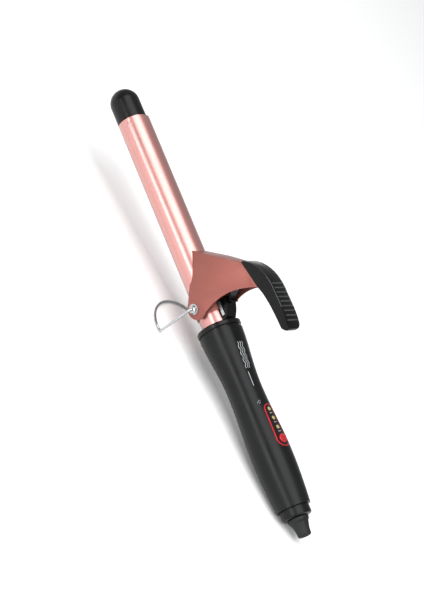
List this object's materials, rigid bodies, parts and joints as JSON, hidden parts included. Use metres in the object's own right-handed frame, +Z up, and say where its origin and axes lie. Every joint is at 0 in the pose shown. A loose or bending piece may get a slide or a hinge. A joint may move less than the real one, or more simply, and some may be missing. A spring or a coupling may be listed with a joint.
{
  "type": "curling iron",
  "caption": "Hair curling iron with a round heated barrel, a spring clip with a thumb lever, a fold-out wire stand, a push button and a swivel cord gland.",
  "frame": {"origin": "on the surface it stands on, under the middle of the object's length and width, with the stand open and the barrel leaning up", "axes": "+Z up; -X towards the barrel's tip and +X towards the cord end; +Y towards the side with no view of the controls' front; the barrel rises by 7 degrees towards -X"},
  "size_m": [0.3978, 0.0588, 0.101],
  "materials": {
    "rose_enamel": "rose gold satin enamel over aluminium",
    "black_phenolic": "moulded, satin",
    "black_nylon": "moulded, fine satin",
    "black_rubber": "moulded, matte",
    "gloss_panel": "gloss",
    "red_acrylic": "gloss",
    "lens": "frosted",
    "chrome": "polished",
    "zinc_steel": "zinc plated",
    "white_ceramic": "sintered",
    "bare_aluminium": "extruded",
    "brass": "plain",
    "board_laminate": "laminate"
  },
  "bodies": {
    "iron": {"barrel_tube": "rose_enamel", "cool_tip": "black_phenolic", "heater_plate": "white_ceramic", "heat_spreader_upper": "bare_aluminium", "heat_spreader_lower": "bare_aluminium", "lead_insulator": "white_ceramic", "thermal_fuse": "brass", "hinge_saddle": "zinc_steel", "hinge_pin_near": "chrome", "hinge_pin_far": "chrome", "hinge_washer_near": "chrome", "hinge_washer_far": "chrome", "spring_block": "black_nylon", "block_strap_near": "zinc_steel", "block_strap_far": "zinc_steel", "collar_ring": "black_nylon", "collar_screws": "zinc_steel", "handle_sleeve": "black_nylon", "control_panel": "gloss_panel", "panel_trim": "red_acrylic", "window_1": "lens", "window_2": "lens", "window_3": "lens", "board_carrier": "black_nylon", "control_board": "board_laminate", "board_leds": "lens", "button_switch": "black_nylon", "board_screws": "zinc_steel", "end_cap": "black_nylon", "end_cap_screw": "zinc_steel", "brush_contacts": "brass"},
    "clip": {"clip_spoon": "rose_enamel", "clip_lever": "rose_enamel", "leaf_spring": "zinc_steel", "spring_rivet": "zinc_steel", "thumb_rest": "black_nylon", "thumb_rest_rivets": "zinc_steel"},
    "button": {"power_button": "red_acrylic"},
    "stand": {"stand_wire": "chrome"},
    "gland": {"cord_gland": "black_rubber", "gland_retainer": "zinc_steel", "slip_rings": "brass"}
  },
  "joints": [
    {"name": "clip_hinge", "type": "hinge", "parent": "iron", "child": "clip", "pos_m": [0.00113, 0, 0.03185], "axis": [0, 1, 0], "range_deg": [0, 22], "stiffness_Nm_per_rad": 0.35, "springref_deg": -20.05},
    {"name": "stand_hinge", "type": "hinge", "parent": "iron", "child": "stand", "pos_m": [0.00113, 0, 0.03185], "axis": [0, 1, 0], "range_deg": [-80, 36]},
    {"name": "button_press", "type": "slide", "parent": "iron", "child": "button", "axis": [-0.1219, 0, -0.9925], "range_m": [0, 0.0006], "stiffness_N_per_m": 800, "springref_m": -0.0004},
    {"name": "gland_swivel", "type": "hinge", "parent": "iron", "child": "gland", "pos_m": [0.17525, 0, 0.014], "axis": [0.9925, 0, -0.1219], "continuous": true}
  ]
}
